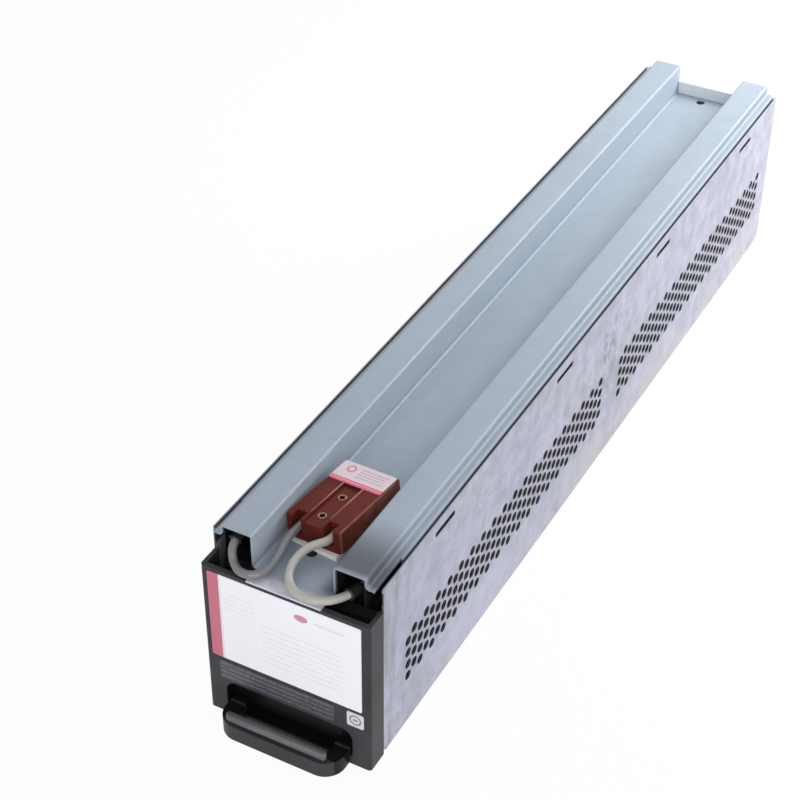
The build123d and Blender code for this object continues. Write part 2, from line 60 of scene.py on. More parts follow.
# Vents in the tray's sides: two bands of staggered columns
vent_columns = 19
vent_rows = 4
vent_column_pitch = 0.006775
vent_row_pitch = 0.0084
vent_radius = 0.00315
vent_low_z = 0.036
vent_top_z = vent_low_z + (vent_rows - 0.5) * vent_row_pitch
vent_front_margin = 0.0404
vent_back_margin = 0.0213

# Pull handle on the front
pocket_half = 0.040
pocket_top = 0.025
handle_bar_back = 0.0115
ridge_low = 0.0126
ridge_shoulder = 0.0164

# Connector: it lies turned and tilted in the channel, and its base starts at the foot
connector_half = 0.018
connector_top = 0.014
connector_turn = math.radians(6.5)
connector_tilt = math.radians(5.0)
connector_foot = (-0.0044, face_y + 0.038, 0.106769)
connector_place = (
    Matrix.Translation(connector_foot)
    @ Matrix.Rotation(-connector_turn, 4, "Z")
    @ Matrix.Rotation(-connector_tilt, 4, "Y")
)


class Field:
    """A value, colour or geometry in a node tree. Arithmetic on it adds Math nodes to that tree."""

    def __init__(self, maker, socket):
        self.maker = maker
        self.socket = socket

    def __add__(self, other):
        return self.maker.math("ADD", self, other)

    __radd__ = __add__

    def __sub__(self, other):
        return self.maker.math("SUBTRACT", self, other)

    def __rsub__(self, other):
        return self.maker.math("SUBTRACT", other, self)

    def __mul__(self, other):
        return self.maker.math("MULTIPLY", self, other)

    __rmul__ = __mul__

    def __truediv__(self, other):
        return self.maker.math("DIVIDE", self, other)

    def __mod__(self, other):
        return self.maker.math("FLOORED_MODULO", self, other)

    def __abs__(self):
        return self.maker.math("ABSOLUTE", self)


class Maker:
    """Adds nodes to one tree."""

    def __init__(self, tree):
        self.tree = tree

    def join(self, value, socket):
        """Links a field to a socket, or sets a plain value on it."""
        if isinstance(value, Field):
            self.tree.links.new(value.socket, socket)
        else:
            socket.default_value = value

    def node(self, kind, settings=None, inputs=None, output=0):
        """One node of this kind, with its settings first and then the values or links of its sockets."""
        made = self.tree.nodes.new(kind)
        for setting, value in (settings or {}).items():
            setattr(made, setting, value)
        for socket, value in (inputs or {}).items():
            self.join(value, made.inputs[socket])
        return Field(self, made.outputs[output])

    def math(self, operation, *values):
        return self.node("ShaderNodeMath", {"operation": operation}, dict(enumerate(values)))


class Finish(Maker):
    """A material under construction, with patterns that read the piece's own coordinates."""

    def __init__(self, name, **constants):
        self.material = bpy.data.materials.new(name)
        self.material.use_nodes = True
        super().__init__(self.material.node_tree)
        self.shader = next(n for n in self.tree.nodes if n.type == "BSDF_PRINCIPLED")
        self.coordinates = self.node("ShaderNodeTexCoord", output="Object")
        self.base = None
        self.set(**constants)

    def set(self, **sockets):
        """Sets or links sockets of the shader."""
        for socket, value in sockets.items():
            self.join(value, self.shader.inputs[socket.replace("_", " ")])
        self.base = sockets.get("Base_Color", self.base)

    def stain(self, mask, colour, share=1.0):
        """Lays a share of a colour over the present base colour, where the mask is."""
        self.set(Base_Color=self.mix(mask * share, self.base, colour))

    def along(self, axis):
        return self.node("ShaderNodeSeparateXYZ", inputs={0: self.coordinates}, output=axis)

    def places(self):
        """Distance from the middle plane, place along the module, and height."""
        return abs(self.along("X")), self.along("Y"), self.along("Z")

    def noise(self, scale, detail=2.0, rough=0.5, stretch=(1, 1, 1)):
        place = self.node("ShaderNodeMapping", inputs={"Vector": self.coordinates, "Scale": stretch})
        inputs = {"Vector": place, "Scale": scale, "Detail": detail, "Roughness": rough}
        return self.node("ShaderNodeTexNoise", inputs=inputs)

    def cells(self, scale):
        """Flat cells, each of its own tone."""
        inputs = {"Vector": self.coordinates, "Scale": scale}
        tone = self.node("ShaderNodeTexVoronoi", inputs=inputs, output="Color")
        return self.node("ShaderNodeSeparateColor", inputs={0: tone}, output=0)

    def step(self, field, low, high):
        """Smooth step from 0 at low to 1 at high."""
        inputs = {"Value": field, "From Min": low, "From Max": high}
        return self.node("ShaderNodeMapRange", {"interpolation_type": "SMOOTHSTEP"}, inputs)

    def past(self, field, place, soft=0.0002):
        """1 past a place and 0 before it, with a border of this half width."""
        return self.step(field, place - soft, place + soft)

    def short_of(self, field, place, soft=0.0002):
        """1 before a place and 0 past it, with a border of this half width."""
        return 1 - self.past(field, place, soft)

    def between(self, field, low, high, soft=0.0001):
        return self.past(field, low, soft) * self.short_of(field, high, soft)

    def length(self, first, second):
        """Length of a line with these two sides."""
        return self.math("SQRT", first * first + second * second)

    def mix(self, share, first, second):
        """Colour between two others."""
        inputs = {0: share, 6: self.tint(first), 7: self.tint(second)}
        return self.node("ShaderNodeMix", {"data_type": "RGBA"}, inputs, output=2)

    def tint(self, colour):
        """A field as it is, or a plain colour with its alpha."""
        return colour if isinstance(colour, Field) else (*colour[:3], 1.0)

    def bump(self, height, strength, distance):
        inputs = {"Height": height, "Strength": strength, "Distance": distance}
        self.set(Normal=self.node("ShaderNodeBump", inputs=inputs))


class Shape(Maker):
    """A Geometry Nodes tree with named sizes, baked into a plain mesh."""

    def __init__(self, name, **sizes):
        super().__init__(bpy.data.node_groups.new(name, "GeometryNodeTree"))
        self.name = name
        self.sizes = sizes
        self.tree.interface.new_socket("Geometry", in_out="OUTPUT", socket_type="NodeSocketGeometry")
        for size, value in sizes.items():
            kind = "NodeSocketInt" if isinstance(value, int) else "NodeSocketFloat"
            self.tree.interface.new_socket(size, in_out="INPUT", socket_type=kind)
        self.entry = self.tree.nodes.new("NodeGroupInput")
        self.exit = self.tree.nodes.new("NodeGroupOutput")

    def size(self, name):
        return Field(self, self.entry.outputs[name])

    def vector(self, x=0.0, y=0.0, z=0.0):
        return self.node("ShaderNodeCombineXYZ", inputs={0: x, 1: y, 2: z})

    def circle(self, radius, resolution):
        """Round curve whose radius is one of the named sizes."""
        inputs = {"Resolution": resolution, "Radius": self.size(radius)}
        return self.node("GeometryNodeCurvePrimitiveCircle", {"mode": "RADIUS"}, inputs)

    def line(self, y=0.0, z=0.0):
        """Straight curve from the origin to this place."""
        return self.node("GeometryNodeCurvePrimitiveLine", inputs={"End": self.vector(0.0, y, z)})

    def sweep(self, curve, profile, caps=False, swell=1.0):
        """Mesh of a profile along a curve, with its size changed by the swell."""
        inputs = {"Curve": curve, "Profile Curve": profile, "Fill Caps": caps, "Scale": swell}
        return self.node("GeometryNodeCurveToMesh", inputs=inputs)

    def row(self, first, offset):
        """Row of points, as many as the size named count."""
        inputs = {"Count": self.size("count"), "Start Location": first, "Offset": offset}
        return self.node("GeometryNodeMeshLine", {"mode": "OFFSET"}, inputs)

    def repeat(self, points, instance):
        return self.node("GeometryNodeInstanceOnPoints", inputs={"Points": points, "Instance": instance})

    def bake(self, geometry, material):
        """Mesh of this tree's geometry, with its instances made real and its material set."""
        real = self.node("GeometryNodeRealizeInstances", inputs={0: geometry})
        dressed = self.node("GeometryNodeSetMaterial", inputs={"Geometry": real, "Material": material})
        self.join(dressed, self.exit.inputs[0])
        holder = bpy.data.objects.new(self.name, bpy.data.meshes.new(self.name))
        bpy.context.scene.collection.objects.link(holder)
        modifier = holder.modifiers.new("shape", "NODES")
        modifier.node_group = self.tree
        for item in self.tree.interface.items_tree:
            if item.in_out == "INPUT":
                modifier[item.identifier] = self.sizes[item.name]
        evaluated = holder.evaluated_get(bpy.context.evaluated_depsgraph_get())
        mesh = bpy.data.meshes.new_from_object(evaluated)
        holder.modifiers.remove(modifier)
        bpy.data.objects.remove(holder)
        return mesh


def piece(name, meshes, material):
    """One object on the module from meshes that are already in their places."""
    joined = bpy.data.meshes.new(name)
    points = []
    faces = []
    for mesh in meshes:
        base = len(points)
        points += [tuple(vertex.co) for vertex in mesh.vertices]
        faces += [[base + index for index in polygon.vertices] for polygon in mesh.polygons]
    joined.from_pydata(points, [], faces)
    joined.polygons.foreach_set("use_smooth", [True] * len(faces))
    joined.materials.append(material)
    made = bpy.data.objects.new(name, joined)
    bpy.context.scene.collection.objects.link(made)
    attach(made, "root")


def placed(mesh, matrix):
    """Copy of a mesh moved by a matrix."""
    copy = mesh.copy()
    copy.transform(matrix)
    return copy


def dress(finish, *names):
    """Gives solids of the frame this finish."""
    for name in names:
        slots = nodes[name].data.materials
        slots.clear()
        slots.append(finish.material)


def scaled(colour, share):
    """Colour made lighter or darker by a share."""
    return tuple(part * share for part in colour)


zinc_metallic = 0.22


def galvanised(name, colour, streak_stretch, contrast, mottle):
    """Dull zinc coat: faint spangle, streaks along the rolled sheet, soft clouds and mottles."""
    zinc = Finish(name, Metallic=zinc_metallic, Specular_IOR_Level=0.5)
    spangle = zinc.cells(scale=110.0)
    fine_spangle = zinc.cells(scale=420.0)
    streaks = zinc.noise(scale=9.0, detail=5.0, rough=0.6, stretch=streak_stretch)
    cloud = zinc.noise(scale=14.0, detail=4.0, rough=0.55)
    mottles = zinc.noise(scale=95.0, detail=5.0, rough=0.65)
    tone = spangle * 0.05 + fine_spangle * 0.03 + streaks * 0.16 + cloud * 0.12 + (mottles - 0.5) * mottle
    light = scaled(colour, 1 + contrast * 0.6)
    dark = scaled(colour, 1 - contrast)
    zinc.set(Base_Color=zinc.mix(zinc.step(tone, low=0.06, high=0.30), dark, light))
    zinc.set(Roughness=0.52 + streaks * 0.10 + spangle * 0.07)
    zinc.bump(streaks * 0.6 + fine_spangle * 0.15 + cloud * 0.5, strength=0.12, distance=0.0006)
    return zinc


def cover_finish():
    """Cover: clean zinc with faint smudges; painted light on the rear lip, the channel's inner walls and the
    tongue's front edge; painted shade on the skirts, the flanges and the channel's right front corner.
    """
    zinc = galvanised(
        "cover_zinc", (0.326, 0.379, 0.444), streak_stretch=(9.0, 0.5, 9.0), contrast=0.10, mottle=0.06
    )
    across, ahead, up = zinc.places()
    smudge = zinc.step(zinc.noise(scale=21.0, detail=6.0, rough=0.65), low=0.57, high=0.74)
    zinc.stain(smudge, colour=(0.330, 0.330, 0.315), share=0.07)

    # Painted shade: the skirts under the flanges are darkened near black, standing for the shadowed gap
    # beside the tray's sides.
    below_flange = zinc.short_of(up, flange_top - 1.4 * sheet)
    skirt = zinc.past(across, skirt_x - 0.75 * sheet, soft=0.15 * sheet) * below_flange
    zinc.stain(skirt, colour=(0.075, 0.071, 0.078), share=0.85)

    # Painted light: the rear lip is made near white and less metallic, so that it looks as lit as the floor
    # in front of it.
    lip_face = zinc.between(ahead, back_y - 1.2 * sheet, back_y - 0.5 * sheet)
    lip_width = zinc.short_of(across, channel_half - 0.45 * sheet, soft=0.25 * sheet)
    above_floor = zinc.past(up, floor_top + 0.075 * sheet, soft=0.125 * sheet)
    lip = lip_face * lip_width * above_floor
    zinc.stain(lip, colour=(0.88, 0.90, 0.94), share=0.95)
    zinc.set(Metallic=zinc_metallic - lip * zinc_metallic)

    # Painted highlight: the tongue's front edge is made pale in noise patches, standing for a reflection
    # along it; the patches, named rubbed, only break that highlight up.
    tongue = zinc.short_of(across, channel_half - 1.5 * sheet, soft=0.4 * sheet)
    tongue_edge_highlight = zinc.short_of(ahead, face_y + 0.007, soft=0.0025) * tongue
    rubbed = zinc.step(zinc.noise(scale=60.0), low=0.10, high=0.50)
    zinc.stain(tongue_edge_highlight * rubbed, colour=(0.74, 0.74, 0.82), share=0.75)

    # Painted shade: the flanges beside the rails are darkened a little, taking off light that they catch
    # more than the rest.
    flange = zinc.past(across, rail_outer + 0.6 * sheet) * zinc.past(up, flange_top - sheet)
    zinc.stain(flange, colour=(0.165, 0.180, 0.195), share=0.22)

    # Painted light: the channel's inner walls are made paler, standing for the light they catch.
    wall_height = zinc.between(up, floor_top + 0.0022, rail_top - 0.0014, soft=0.0008)
    wall_sheet = zinc.between(across, channel_half - 0.3 * sheet, channel_half + 0.3 * sheet, soft=0.0002)
    zinc.stain(wall_sheet * wall_height, colour=(0.600, 0.675, 0.765), share=0.28)

    # Painted shade: the channel floor's right front corner by the right rail is darkened, standing for the
    # shadow there.
    right_corner = zinc.past(zinc.along("X"), 0.0155, soft=0.0055)
    behind_edge = zinc.past(ahead, face_y + 0.011, soft=0.003)
    near_front = zinc.short_of(ahead, face_y + 0.040, soft=0.020)
    zinc.stain(right_corner * behind_edge * near_front, colour=(0.072, 0.077, 0.087), share=0.9)
    return zinc


def tray_finish():
    """Tray: zinc with greasy smudges, drips by the front, a dirty patch by the vents, paler low down towards
    the front, and painted shade on the cut edges, vent hole walls, inner ledges and brim.
    """
    zinc = galvanised(
        "tray_zinc", (0.432, 0.437, 0.525), streak_stretch=(9.0, 9.0, 0.7), contrast=0.20, mottle=0.50
    )
    across, ahead, up = zinc.places()
    smudge = zinc.step(zinc.noise(scale=21.0, detail=6.0, rough=0.65), low=0.55, high=0.74)
    zinc.stain(smudge, colour=(0.280, 0.280, 0.294), share=0.26)
    blue = zinc.step(zinc.noise(scale=11.0, detail=3.0), low=0.50, high=0.68)
    zinc.stain(blue, colour=(0.378, 0.420, 0.560), share=0.22)

    runs = zinc.noise(scale=75.0, detail=4.0, rough=0.6, stretch=(1, 1, 0.12))
    drips = zinc.step(runs, low=0.46, high=0.62)
    by_front = zinc.short_of(ahead, face_y + 0.034, soft=0.018)
    zinc.stain(drips * by_front, colour=(0.210, 0.203, 0.182), share=0.62)

    patch_y, patch_z = 0.012, 0.080
    patch_half_length, patch_half_height = 0.019, 0.048
    off_patch = zinc.length((ahead - patch_y) / patch_half_length, (up - patch_z) / patch_half_height)
    near_patch = 1 - zinc.step(off_patch, low=0.35, high=1.0)
    right_side = zinc.past(zinc.along("X"), 0.0005, soft=0.0005)
    dirt = zinc.noise(scale=190.0, detail=5.0, rough=0.75, stretch=(1, 1, 0.6))
    blots = zinc.step(dirt, low=0.47, high=0.60)
    zinc.stain(blots * near_patch * right_side, colour=(0.154, 0.154, 0.168), share=0.66)

    # Paler low on the sides, over a stretch towards the front.
    pale_low_band = zinc.short_of(up, 0.0425, soft=0.0275) * zinc.between(ahead, -0.22, -0.10, soft=0.05)
    zinc.stain(pale_low_band, colour=(0.560, 0.574, 0.700), share=0.40)
    foot = zinc.short_of(up, 0.019, soft=0.015) * zinc.past(ahead, -0.06, soft=0.08)
    dust = zinc.step(zinc.noise(scale=34.0, detail=4.0, rough=0.6), low=0.30, high=0.60)
    zinc.stain(foot * dust, colour=(0.518, 0.497, 0.455), share=0.55)

    vent_grime = 0.0033
    grime_front = face_y + vent_front_margin - vent_grime
    grime_back = back_y - vent_back_margin + vent_grime
    grime_height = zinc.between(up, vent_low_z - 0.0015, vent_top_z + 0.0011, soft=0.003)
    grime_length = zinc.between(ahead, grime_front, grime_back, soft=0.002)
    clean_gap = zinc.between(ahead, -0.002, 0.0225, soft=0.002)
    zinc.stain(grime_height * grime_length * (1 - clean_gap), colour=(0.210, 0.196, 0.168), share=0.24)
    specks = zinc.step(zinc.noise(scale=900.0), low=0.70, high=0.78)
    zinc.stain(specks, colour=(0.168, 0.154, 0.154), share=0.30)

    # Painted shade: the cut edges of the sides and the walls of their vent holes and slots are made near
    # black, standing for the shade inside them.
    cut_depth = zinc.between(across, half_width - 0.88 * sheet, half_width - 0.12 * sheet, soft=0.06 * sheet)
    below_brim = zinc.short_of(up, side_top - 0.0025, soft=0.0005)
    zinc.stain(cut_depth * below_brim, colour=(0.017, 0.017, 0.018), share=0.95)
    # Painted shade: the ledges inside the sides' tops, seen through the slots, are darkened near black.
    ledge_height = zinc.between(up, side_top - 0.0110, side_top - 0.0022)
    ledges = zinc.between(across, half_width - 5.2 * sheet, half_width - 0.8 * sheet) * ledge_height
    zinc.stain(ledges, colour=(0.022, 0.022, 0.025), share=0.92)
    # Painted shade: the inner part of the sides' top edges is darkened, widening the dark gap line under the
    # cover's flanges.
    inner_half = zinc.short_of(across, half_width - 0.46 * sheet, soft=0.06 * sheet)
    brim = zinc.past(up, side_top - 1.2 * sheet) * inner_half
    zinc.stain(brim, colour=(0.084, 0.081, 0.092), share=0.9)
    return zinc


def moulded(name, colour, gloss, grain_scale=2600.0, shine=0.5):
    """Moulded plastic with a fine grain, faint flow marks and rubbed patches."""
    plastic = Finish(name, Specular_IOR_Level=shine)
    grain = plastic.noise(scale=grain_scale)
    flow = plastic.noise(scale=24.0, detail=4.0, rough=0.6)
    scuffs = plastic.noise(scale=60.0, detail=5.0, rough=0.7, stretch=(1, 1, 0.35))
    rubbed = plastic.step(scuffs, low=0.58, high=0.75)
    pale = tuple(part * 1.2 + 0.05 * shine for part in colour)
    flow_marks = plastic.step(flow, low=0.3, high=0.7)
    plastic.set(Base_Color=plastic.mix(flow_marks, scaled(colour, 0.85), scaled(colour, 1.25)))
    plastic.stain(rubbed, pale, share=0.18)
    plastic.set(Roughness=gloss + grain * 0.12 - rubbed * 0.06)
    plastic.bump(grain, strength=0.10, distance=0.0002)
    return plastic


def bezel_finish():
    """Front: dark grained plastic, with painted shade making the finger pocket and the handle's arms near
    black, and a painted highlight along the ridge.
    """
    plastic = moulded("bezel_plastic", (0.042, 0.041, 0.046), gloss=0.38, shine=0.14)
    across, ahead, up = plastic.places()
    # Painted shade: the finger pocket and the handle's arms are darkened near black, standing for the shade
    # in the recess.
    inside = plastic.past(ahead, face_y + 0.001, soft=0.0006)
    below_roof = plastic.short_of(up, pocket_top, soft=0.0005)
    pocket = inside * below_roof * plastic.short_of(across, pocket_half, soft=0.0005)
    bar_back = face_y - handle_bar_back
    arms = plastic.between(ahead, bar_back - 0.0003, face_y - 0.0003, soft=0.0004)
    plastic.stain(plastic.math("MAXIMUM", pocket, arms), colour=(0.003, 0.003, 0.003), share=0.92)

    # Painted highlight: the ridge's front is made pale, less so on its top, broken into strokes.
    ridge = plastic.past(up, ridge_low, soft=0.0004) * plastic.short_of(ahead, bar_back + 0.0001)
    ridge_highlight = ridge * (1 - 0.55 * plastic.past(up, ridge_shoulder, soft=0.0004))
    strokes = plastic.noise(scale=140.0, detail=4.0, rough=0.7, stretch=(0.2, 1, 1))
    ridge_highlight_strokes = 0.55 + 0.45 * plastic.step(strokes, low=0.35, high=0.65)
    plastic.stain(ridge_highlight * ridge_highlight_strokes, colour=(0.200, 0.198, 0.205), share=0.9)
    return plastic


def connector_axes(finish):
    """Places across and along the connector, which lies turned and tilted."""
    across = finish.along("X") - connector_place.translation.x
    ahead = finish.along("Y") - connector_place.translation.y
    up = finish.along("Z") - connector_place.translation.z
    level = across * math.cos(connector_turn) - ahead * math.sin(connector_turn)
    along = across * math.sin(connector_turn) + ahead * math.cos(connector_turn)
    return level * math.cos(connector_tilt) + up * math.sin(connector_tilt), along


def connector_finish():
    """Connector: maroon plastic, with a painted highlight along its long edges."""
    maroon = (0.096, 0.0128, 0.0085)
    plastic = moulded("connector_plastic", maroon, gloss=0.36, grain_scale=1800.0, shine=0.15)
    across, _ = connector_axes(plastic)
    # Painted highlight: the long edges are made pale, broken up by noise.
    edge = plastic.between(abs(across), connector_half - 0.0011, connector_half - 0.0002, soft=0.0003)
    edge_highlight_breakup = plastic.step(plastic.noise(scale=160.0, detail=4.0, rough=0.7), low=0.30, high=0.60)
    plastic.stain(edge * (0.35 + 0.65 * edge_highlight_breakup), colour=(0.300, 0.120, 0.090), share=0.6)
    return plastic


def jacket(name, colour, gloss, haze):
    """Smooth extruded cable jacket with long soft ripples and faint dust that hazes its gloss."""
    cable = Finish(name, Specular_IOR_Level=0.65)
    ripple = cable.noise(scale=130.0, detail=3.0)
    dust = cable.step(cable.noise(scale=420.0, detail=4.0, rough=0.7), low=0.52, high=0.72)
    light = tuple(min(1.0, part * 1.15 + 0.01) for part in colour)
    pale = tuple(part * 0.8 + 0.10 for part in colour)
    cable.set(Base_Color=cable.mix(ripple, colour, light))
    cable.stain(dust, pale, share=0.15)
    cable.set(Roughness=gloss + ripple * (0.10 * haze) + dust * (0.12 * haze))
    cable.bump(ripple, strength=0.06, distance=0.0006)
    return cable


def foam(name, colour, depth):
    """Closed-cell foam with small pores, darker by this share."""
    sponge = Finish(name)
    pores = sponge.noise(scale=1500.0, detail=3.0, rough=0.6)
    skin = sponge.step(pores, low=0.45, high=0.60)
    sponge.set(Base_Color=sponge.mix(skin, scaled(colour, 1 - depth), colour))
    sponge.set(Roughness=0.78 + pores * 0.18)
    sponge.bump(pores, strength=0.35, distance=0.0004)
    return sponge


def plated(name, colour, gloss):
    """Plated metal with fine drawn lines."""
    metal = Finish(name, Metallic=1.0)
    lines = metal.noise(scale=500.0, detail=3.0, rough=0.6, stretch=(1, 0.08, 1))
    metal.set(Base_Color=metal.mix(lines, scaled(colour, 0.75), colour))
    metal.set(Roughness=gloss + lines * 0.15)
    metal.bump(lines, strength=0.05, distance=0.0002)
    return metal


def paper(finish, tone=0.05):
    """Slightly uneven gloss paper under the print of this finish."""
    fibre = finish.noise(scale=900.0, detail=3.0)
    cloud = finish.noise(scale=60.0, detail=3.0)
    finish.stain(cloud * tone + fibre * tone, colour=(0.62, 0.62, 0.66))
    finish.set(Roughness=0.34 + fibre * 0.14)
    finish.bump(cloud * 0.8 + fibre * 0.2, strength=0.05, distance=0.0004)
    return finish


def print_rows(finish, across, up, left, right, bottom, top, pitch, height, word_scale):
    """Mask of plain broken bars in rows, as unreadable small print."""
    row_low = (pitch - height) / 2
    row_high = (pitch + height) / 2
    row = finish.between((up - bottom) % pitch, row_low, row_high, soft=height * 0.15)
    words = finish.noise(scale=word_scale, rough=0.6, stretch=(1, 1, 0.35))
    field = finish.between(across, left, right, soft=0.0003) * finish.between(up, bottom, top)
    return row * finish.step(words, low=0.40, high=0.47) * field


def front_label_finish():
    """Front label: white, with a red band on its left edge, pale rows, a red spot and a bar."""
    label = Finish("front_label_face", Base_Color=(0.90, 0.90, 0.935, 1.0))
    across = label.along("X")
    up = label.along("Z")
    rows = print_rows(
        label, across, up, left=-0.014, right=0.034, bottom=0.050, top=0.080,
        pitch=0.0036, height=0.0011, word_scale=900.0,
    )
    left_rows = print_rows(
        label, across, up, left=-0.036, right=-0.018, bottom=0.078, top=0.092,
        pitch=0.0034, height=0.0010, word_scale=900.0,
    )
    label.stain(rows * 0.26 + left_rows * 0.22, colour=(0.50, 0.44, 0.54))

    spot_x, spot_z = 0.0100, 0.0930
    spot_half_width, spot_half_height = 0.0043, 0.0024
    off_spot = label.length((across - spot_x) / spot_half_width, (up - spot_z) / spot_half_height)
    label.stain(1 - label.step(off_spot, low=0.9, high=1.0), colour=(0.50, 0.10, 0.16), share=0.8)
    bar = label.between(across, 0.0175, 0.0350, soft=0.0004) * label.between(up, 0.0922, 0.0936, soft=0.0003)
    label.stain(bar, colour=(0.50, 0.46, 0.54), share=0.35)
    band_x = -0.0392
    shade = label.between(across, band_x + 0.0002, band_x + 0.0012, soft=0.0002)
    label.stain(shade, colour=(0.62, 0.66, 0.76), share=0.6)
    label.stain(label.short_of(across, band_x), colour=(0.56, 0.115, 0.19))
    return paper(label)


def print_label_finish():
    """Print label: dark film with rows that are barely paler."""
    film = Finish("print_label_face", Base_Color=(0.028, 0.027, 0.036, 1.0))
    low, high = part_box("print_label")
    rows = print_rows(
        film, film.along("X"), film.along("Z"), left=low.x + 0.001, right=high.x - 0.001,
        bottom=low.z + 0.0008, top=high.z - 0.0003, pitch=0.0031, height=0.0016, word_scale=1100.0,
    )
    film.stain(rows, colour=(0.120, 0.116, 0.142), share=0.8)
    return paper(film, tone=0.02)


def check_sticker_finish():
    """Check sticker: a dark ring round a dark block, on white."""
    sticker = Finish("check_sticker_face", Base_Color=(0.68, 0.68, 0.74, 1.0))
    low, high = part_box("check_sticker")
    across = sticker.along("X") - (low.x + high.x) / 2
    up = sticker.along("Z") - (low.z + high.z) / 2
    ring = sticker.between(sticker.length(across, up), 0.0026, 0.0036, soft=0.0002)
    block = sticker.short_of(abs(across), 0.0014) * sticker.short_of(abs(up), 0.0009)
    sticker.stain(ring * 0.8 + block * 0.7, colour=(0.09, 0.09, 0.12))
    return paper(sticker)


def seal_finish():
    """Connector label: pale, with rows, a red ring and a red strip that has one pale line."""
    seal = Finish("connector_label_face", Base_Color=(0.69, 0.580, 0.615, 1.0))
    across, along = connector_axes(seal)
    rows = print_rows(
        seal, across, along, left=-0.0038, right=0.0138, bottom=0.0420, top=0.0505,
        pitch=0.0023, height=0.0009, word_scale=1200.0,
    )
    seal.stain(rows, colour=(0.35, 0.21, 0.25), share=0.75)
    ring_x, ring_y = -0.0093, 0.0480
    ring = seal.between(seal.length(across - ring_x, along - ring_y), 0.0017, 0.0029, soft=0.0002)
    seal.stain(ring, colour=(0.52, 0.07, 0.145), share=0.75)
    seal.stain(seal.short_of(along, 0.0398), colour=(0.66, 0.087, 0.18))
    pale_line = seal.between(along, 0.0381, 0.0386, soft=0.0002)
    seal.stain(pale_line, colour=(0.88, 0.60, 0.66), share=0.7)
    return paper(seal)


cover_zinc = cover_finish()
tray_zinc = tray_finish()
bezel_plastic = bezel_finish()
connector_plastic = connector_finish()
# The ribs get a paler maroon than the connector: a painted highlight along them.
rib_plastic = moulded("rib_plastic", (0.230, 0.078, 0.058), gloss=0.34, grain_scale=1800.0, shine=0.3)
case_plastic = moulded("case_plastic", (0.006, 0.006, 0.007), gloss=0.55, shine=0.12)
nylon = moulded("nylon", (0.42, 0.07, 0.06), gloss=0.35)
sheet_plastic = moulded("sheet_plastic", (0.008, 0.008, 0.009), gloss=0.45, shine=0.25)
light_jacket = jacket("light_jacket", (0.390, 0.382, 0.345), gloss=0.36, haze=1.0)
# The black lead's base is dark grey rather than black: a painted sheen standing for its glossy highlights.
black_jacket = jacket("black_jacket", (0.156, 0.156, 0.163), gloss=0.06, haze=0.3)
black_foam = foam("black_foam", (0.016, 0.016, 0.016), depth=0.4)
white_foam = foam("white_foam", (0.88, 0.86, 0.86), depth=0.06)
zinc_plate = plated("zinc_plate", (0.58, 0.58, 0.55), gloss=0.32)
tin_plate = plated("tin_plate", (0.68, 0.66, 0.60), gloss=0.30)
silver_plate = plated("silver_plate", (0.78, 0.76, 0.72), gloss=0.22)
spring_strip = plated("spring_strip", (0.50, 0.50, 0.50), gloss=0.28)
eyelet_metal = plated("eyelet_metal", (0.33, 0.186, 0.130), gloss=0.48)
rubber = moulded("rubber", (0.016, 0.016, 0.016), gloss=0.50)

dress(cover_zinc, "top_cover")
dress(tray_zinc, "tray")
dress(bezel_plastic, "front_bezel")
dress(zinc_plate, "bezel_screws")
dress(case_plastic, *[f"battery_{number}" for number in range(1, 9)])
dress(tin_plate, "battery_tabs")
dress(nylon, "tab_receptacles")
dress(black_jacket, "lead_black", *[f"jumper_{number}" for number in range(1, 8)])
dress(light_jacket, "lead_light")
dress(sheet_plastic, "base_liner", "rail_insulator_left", "rail_insulator_right")
dress(black_foam, "top_pad", "front_foam", "back_foam")
dress(black_foam, *[f"side_foam_{level}_{hand}" for level in ("low", "high") for hand in ("left", "right")])
dress(connector_plastic, "connector_housing")
dress(silver_plate, "contact_left", "contact_right")
dress(spring_strip, "contact_spring_left", "contact_spring_right")
dress(white_foam, "connector_pad")
dress(seal_finish(), "connector_label")
dress(front_label_finish(), "front_label")
dress(print_label_finish(), "print_label")
dress(check_sticker_finish(), "check_sticker")


def punched_rims():
    """Rolled edges round the vent holes of both sides."""
    shape = Shape(
        "punched_rims",
        columns=vent_columns,
        rows=vent_rows,
        column_pitch=vent_column_pitch,
        row_pitch=vent_row_pitch,
        hole_radius=vent_radius,
        rim_radius=0.00016,
    )
    pitch = shape.size("column_pitch")
    row = shape.size("row_pitch")
    ring = shape.sweep(shape.circle("hole_radius", resolution=16), shape.circle("rim_radius", resolution=4))
    grid_sizes = {
        "Size X": (shape.size("columns") - 1) * pitch * 2,
        "Size Y": (shape.size("rows") - 1) * row,
        "Vertices X": shape.size("columns"),
        "Vertices Y": shape.size("rows"),
    }
    grid = shape.node("GeometryNodeMeshGrid", inputs=grid_sizes)
    both = shape.tree.nodes.new("GeometryNodeJoinGeometry")
    for way in (-0.5, 0.5):
        place = {"Geometry": grid, "Translation": shape.vector(pitch * way, row * (way / 2))}
        moved = shape.node("GeometryNodeTransform", inputs=place)
        shape.join(moved, both.inputs[0])
    band = shape.bake(shape.repeat(Field(shape, both.outputs[0]), ring), tray_zinc.material)
    upright = Matrix(((0, 0, 1, 0), (1, 0, 0, 0), (0, 1, 0, 0), (0, 0, 0, 1)))
    half_band = (2 * vent_columns - 1) * vent_column_pitch / 2
    middles = (face_y + vent_front_margin + half_band, back_y - vent_back_margin - half_band)
    middle_z = (vent_low_z + vent_top_z) / 2
    copies = []
    for side in (-half_width, half_width):
        for middle in middles:
            copies.append(placed(band, Matrix.Translation((side, middle, middle_z)) @ upright))
    piece("punched_rims", copies, tray_zinc.material)


